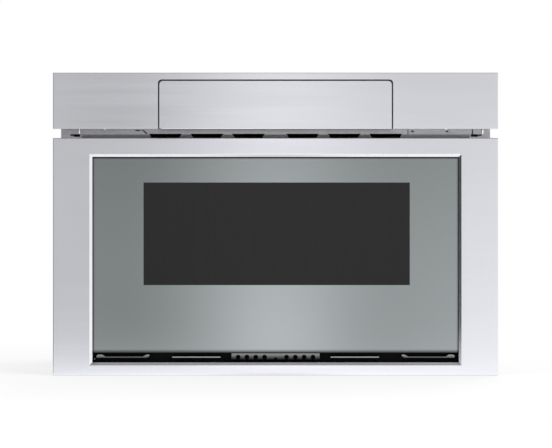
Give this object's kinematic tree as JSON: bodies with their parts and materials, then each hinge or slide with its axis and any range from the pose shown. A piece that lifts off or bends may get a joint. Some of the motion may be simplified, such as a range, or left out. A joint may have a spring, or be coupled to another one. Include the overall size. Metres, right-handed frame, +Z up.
{
  "type": "microwave drawer",
  "caption": "Built-in microwave oven drawer: stainless framed glass front on telescopic slides, tip-out control panel in a fixed header, steel casing behind.",
  "frame": {"origin": "middle of the base plate's underside at the cabinet face plane, on the cabinet shelf", "axes": "+Z up, -Y out of the front towards the user, +X to the right as seen from the front"},
  "size_m": [0.606, 0.598, 0.412],
  "materials": {
    "stainless_front": "fine horizontal brushing",
    "stainless_cover": "fine horizontal brushing",
    "galvanized_casing": "galvanized sheet, satin",
    "plate_grey": "satin grey enamel",
    "coated_glass": "reflective grey coated glass",
    "clear_glass": "clear",
    "black_glass": "glossy black glass",
    "window_screen": "perforated black enamel",
    "black_plastic": "fine moulded grain",
    "grey_plastic": "fine moulded grain",
    "white_plastic": "smooth satin",
    "display_green": "dark display with pale digits",
    "circuit_board": "solder mask",
    "cavity_enamel": "light grey enamel",
    "ceramic": "smooth glass ceramic",
    "zinc_steel": "zinc plated",
    "dark_steel": "dark zinc",
    "aluminium": "pressed, bright",
    "motor_steel": "oiled laminations",
    "mica": "pale mica board",
    "tape_black": "foam tape",
    "gear_plastic": "acetal"
  },
  "bodies": {
    "chassis": {"base_plate": "galvanized_casing", "outer_cover": "galvanized_casing", "rear_panel": "galvanized_casing", "chassis_screws": "zinc_steel", "front_plate": "plate_grey", "header_fascia": "stainless_front", "hinge_brackets": "zinc_steel", "push_latches": "black_plastic", "control_housing": "black_plastic", "oven_cavity": "cavity_enamel", "cavity_supports": "zinc_steel", "oven_lamp": "white_plastic", "wave_guide": "zinc_steel", "magnetron": "aluminium", "stirrer_motor": "white_plastic", "stirrer_cover": "mica", "exhaust_duct": "black_plastic", "fan_shroud": "zinc_steel", "fan_motor": "motor_steel", "hv_transformer": "motor_steel", "hv_capacitor": "aluminium", "hv_diode": "black_plastic", "power_board": "circuit_board", "filter_board": "circuit_board", "thermal_cutouts": "aluminium", "cord_gland": "black_plastic", "terminal_block": "white_plastic", "interlock_switches": "black_plastic", "slide_outers": "zinc_steel", "slide_brackets": "zinc_steel", "gearmotor": "black_plastic"},
    "drawer": {"drawer_front_frame": "stainless_front", "outer_glass": "coated_glass", "glass_tape": "tape_black", "window_screen": "window_screen", "door_panel": "dark_steel", "choke_cover": "black_plastic", "inner_glass": "clear_glass", "intake_guard": "black_plastic", "latch_hooks": "zinc_steel", "drawer_pan": "cavity_enamel", "ceramic_tray": "ceramic", "drawer_arms": "zinc_steel", "door_screws": "zinc_steel", "drive_rack": "gear_plastic", "slide_inners": "zinc_steel"},
    "slide_middle_right": {"slide_middle_right": "zinc_steel"},
    "slide_middle_left": {"slide_middle_left": "zinc_steel"},
    "control_panel": {"panel_cover": "stainless_cover", "panel_carrier": "black_plastic", "panel_pivots": "zinc_steel", "touch_glass": "black_glass", "display": "display_green", "control_board": "circuit_board", "latch_strikers": "zinc_steel"},
    "latch_plungers": {"latch_plungers": "white_plastic"},
    "cooling_fan": {"fan_blade": "grey_plastic"},
    "stirrer": {"stirrer": "aluminium"},
    "drive_pinion": {"drive_pinion": "gear_plastic"}
  },
  "joints": [
    {"name": "drawer_slide", "type": "slide", "parent": "chassis", "child": "drawer", "axis": [0, -1, 0], "range_m": [0, 0.4]},
    {"name": "slide_middle_right_run", "type": "slide", "parent": "chassis", "child": "slide_middle_right", "axis": [0, -1, 0], "range_m": [0, 0.2]},
    {"name": "slide_middle_left_run", "type": "slide", "parent": "chassis", "child": "slide_middle_left", "axis": [0, -1, 0], "range_m": [0, 0.2]},
    {"name": "drive_pinion_spin", "type": "hinge", "parent": "chassis", "child": "drive_pinion", "pos_m": [0.015, 0.025, 0.045], "axis": [0, 0, 1], "continuous": true},
    {"name": "control_panel_hinge", "type": "hinge", "parent": "chassis", "child": "control_panel", "pos_m": [0, -0.024, 0.329], "axis": [1, 0, 0], "range_deg": [-2, 45]},
    {"name": "latch_plunger_slide", "type": "slide", "parent": "chassis", "child": "latch_plungers", "axis": [0, -1, 0], "range_m": [0, 0.002]},
    {"name": "cooling_fan_spin", "type": "hinge", "parent": "chassis", "child": "cooling_fan", "pos_m": [-0.13, 0.473, 0.18], "axis": [0, 1, 0], "continuous": true},
    {"name": "stirrer_spin", "type": "hinge", "parent": "chassis", "child": "stirrer", "pos_m": [0, 0.21, 0.262], "axis": [0, 0, 1], "continuous": true}
  ],
  "couplings": [
    {"joint": "slide_middle_right_run", "follows": "drawer_slide", "ratio": 0.5},
    {"joint": "slide_middle_left_run", "follows": "drawer_slide", "ratio": 0.5},
    {"joint": "drive_pinion_spin", "follows": "drawer_slide", "rad_per_m": 66.667}
  ]
}
